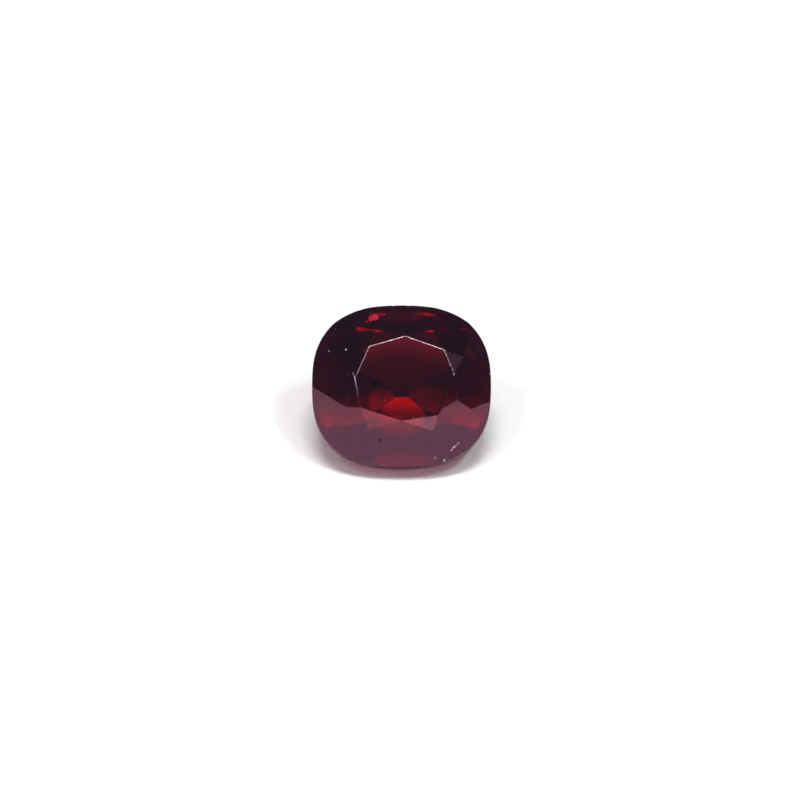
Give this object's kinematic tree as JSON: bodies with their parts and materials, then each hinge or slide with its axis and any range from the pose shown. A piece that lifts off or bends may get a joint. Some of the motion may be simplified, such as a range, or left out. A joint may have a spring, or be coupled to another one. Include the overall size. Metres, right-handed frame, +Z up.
{
  "type": "faceted red spinel gemstone",
  "caption": "Loose cushion-cut red spinel with a brilliant crown and a stepped pavilion, lying on one pavilion facet with its table tipped to the front.",
  "frame": {"origin": "centre of the bounding box of the lying stone, at the height of the facet it rests on", "axes": "+Z up from the surface the stone lies on, +X along the stone's wider side, -Y the way the table faces; the table leans 38 degrees from level towards -Y"},
  "size_m": [0.0066, 0.0052, 0.0045],
  "materials": {
    "spinel_crystal": "polished deep red crystal, refractive index 1.718, with a bruted girdle"
  },
  "bodies": {
    "root": {"spinel": "spinel_crystal"}
  },
  "joints": []
}
